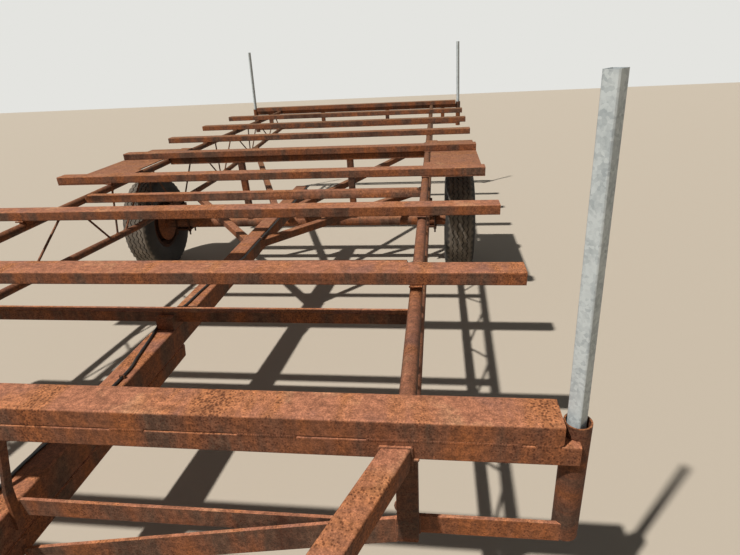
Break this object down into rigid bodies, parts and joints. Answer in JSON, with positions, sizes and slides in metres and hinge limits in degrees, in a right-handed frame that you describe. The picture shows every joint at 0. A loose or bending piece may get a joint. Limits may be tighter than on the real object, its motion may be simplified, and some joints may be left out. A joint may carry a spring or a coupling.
{
  "type": "pipe trailer",
  "caption": "Long low single-axle trailer of rusty square and round tube for carrying pipe, with flat crossmembers on two laced trusses, corner stakes, a clevis tongue and a jack.",
  "frame": {"origin": "centre of the hitch pin's bore, midway between the two clevis plates", "axes": "+Y from the hitch towards the trailer's rear, level with the road; +Z plumb up; +X to the right seen from the tongue, looking back over the deck"},
  "size_m": [3.0302, 9.4242, 2.0376],
  "materials": {
    "rusty_steel": "rusted square, rectangular and round tube",
    "galvanised_steel": "galvanised square tube",
    "drum_iron": "rusted casting",
    "rim_steel": "worn paint over rust",
    "tyre_rubber": "dusty rubber",
    "cable_rubber": "black rubber sheath, dusty",
    "jack_steel": "worn and rusted"
  },
  "bodies": {
    "frame": {"crossmember_1": "rusty_steel", "crossmember_2": "rusty_steel", "crossmember_3": "rusty_steel", "crossmember_4": "rusty_steel", "crossmember_5": "rusty_steel", "crossmember_6": "rusty_steel", "crossmember_7": "rusty_steel", "crossmember_8": "rusty_steel", "crossmember_9": "rusty_steel", "front_beam": "rusty_steel", "rear_beam": "rusty_steel", "front_tie": "rusty_steel", "rear_tie": "rusty_steel", "end_posts": "rusty_steel", "stake_sockets": "rusty_steel", "backbone": "rusty_steel", "tongue_liner": "rusty_steel", "lower_braces": "rusty_steel", "hangers": "rusty_steel", "hounds": "rusty_steel", "wiring_cable": "cable_rubber", "cable_plug": "cable_rubber", "cable_guides": "rusty_steel", "low_cross_tube": "rusty_steel", "rail_cross_tube_1": "rusty_steel", "rail_cross_tube_2": "rusty_steel", "rail_cross_tube_3": "rusty_steel", "rail_pads": "rusty_steel", "axle": "rusty_steel", "axle_posts": "rusty_steel", "axle_saddles": "rusty_steel", "axle_clamps": "rusty_steel", "hitch": "rusty_steel", "rail_left": "rusty_steel", "rail_right": "rusty_steel", "chord_left": "rusty_steel", "chord_right": "rusty_steel", "lacing_left": "rusty_steel", "lacing_right": "rusty_steel", "tongue_brace_left": "rusty_steel", "tongue_brace_right": "rusty_steel", "fender_left": "rusty_steel", "fender_right": "rusty_steel", "jack_sleeve": "jack_steel", "jack_crank": "jack_steel"},
    "wheel_left": {"hub_left": "drum_iron", "rim_left": "rim_steel", "tyre_left": "tyre_rubber"},
    "wheel_right": {"hub_right": "drum_iron", "rim_right": "rim_steel", "tyre_right": "tyre_rubber"},
    "jack": {"jack_leg": "jack_steel"},
    "stake_front_left": {"stake_front_left": "galvanised_steel"},
    "stake_front_right": {"stake_front_right": "galvanised_steel"},
    "stake_rear_left": {"stake_rear_left": "galvanised_steel"},
    "stake_rear_right": {"stake_rear_right": "galvanised_steel"}
  },
  "joints": [
    {"name": "wheel_left_spin", "type": "hinge", "parent": "frame", "child": "wheel_left", "pos_m": [-1.373, 5.85085, 0.13068], "axis": [1, 0, 0], "continuous": true},
    {"name": "wheel_right_spin", "type": "hinge", "parent": "frame", "child": "wheel_right", "pos_m": [1.373, 5.85085, 0.13068], "axis": [1, 0, 0], "continuous": true},
    {"name": "jack_slide", "type": "slide", "parent": "frame", "child": "jack", "axis": [0, 0, 1], "range_m": [-0.12, 0.14]},
    {"name": "stake_front_left_lift", "type": "slide", "parent": "frame", "child": "stake_front_left", "axis": [0.0175, -0.0649, 0.9977], "range_m": [0, 0.32]},
    {"name": "stake_front_right_lift", "type": "slide", "parent": "frame", "child": "stake_front_right", "axis": [-0.0175, -0.0649, 0.9977], "range_m": [0, 0.32]},
    {"name": "stake_rear_left_lift", "type": "slide", "parent": "frame", "child": "stake_rear_left", "axis": [0.0175, -0.0649, 0.9977], "range_m": [0, 0.32]},
    {"name": "stake_rear_right_lift", "type": "slide", "parent": "frame", "child": "stake_rear_right", "axis": [-0.0175, -0.0649, 0.9977], "range_m": [0, 0.32]}
  ]
}
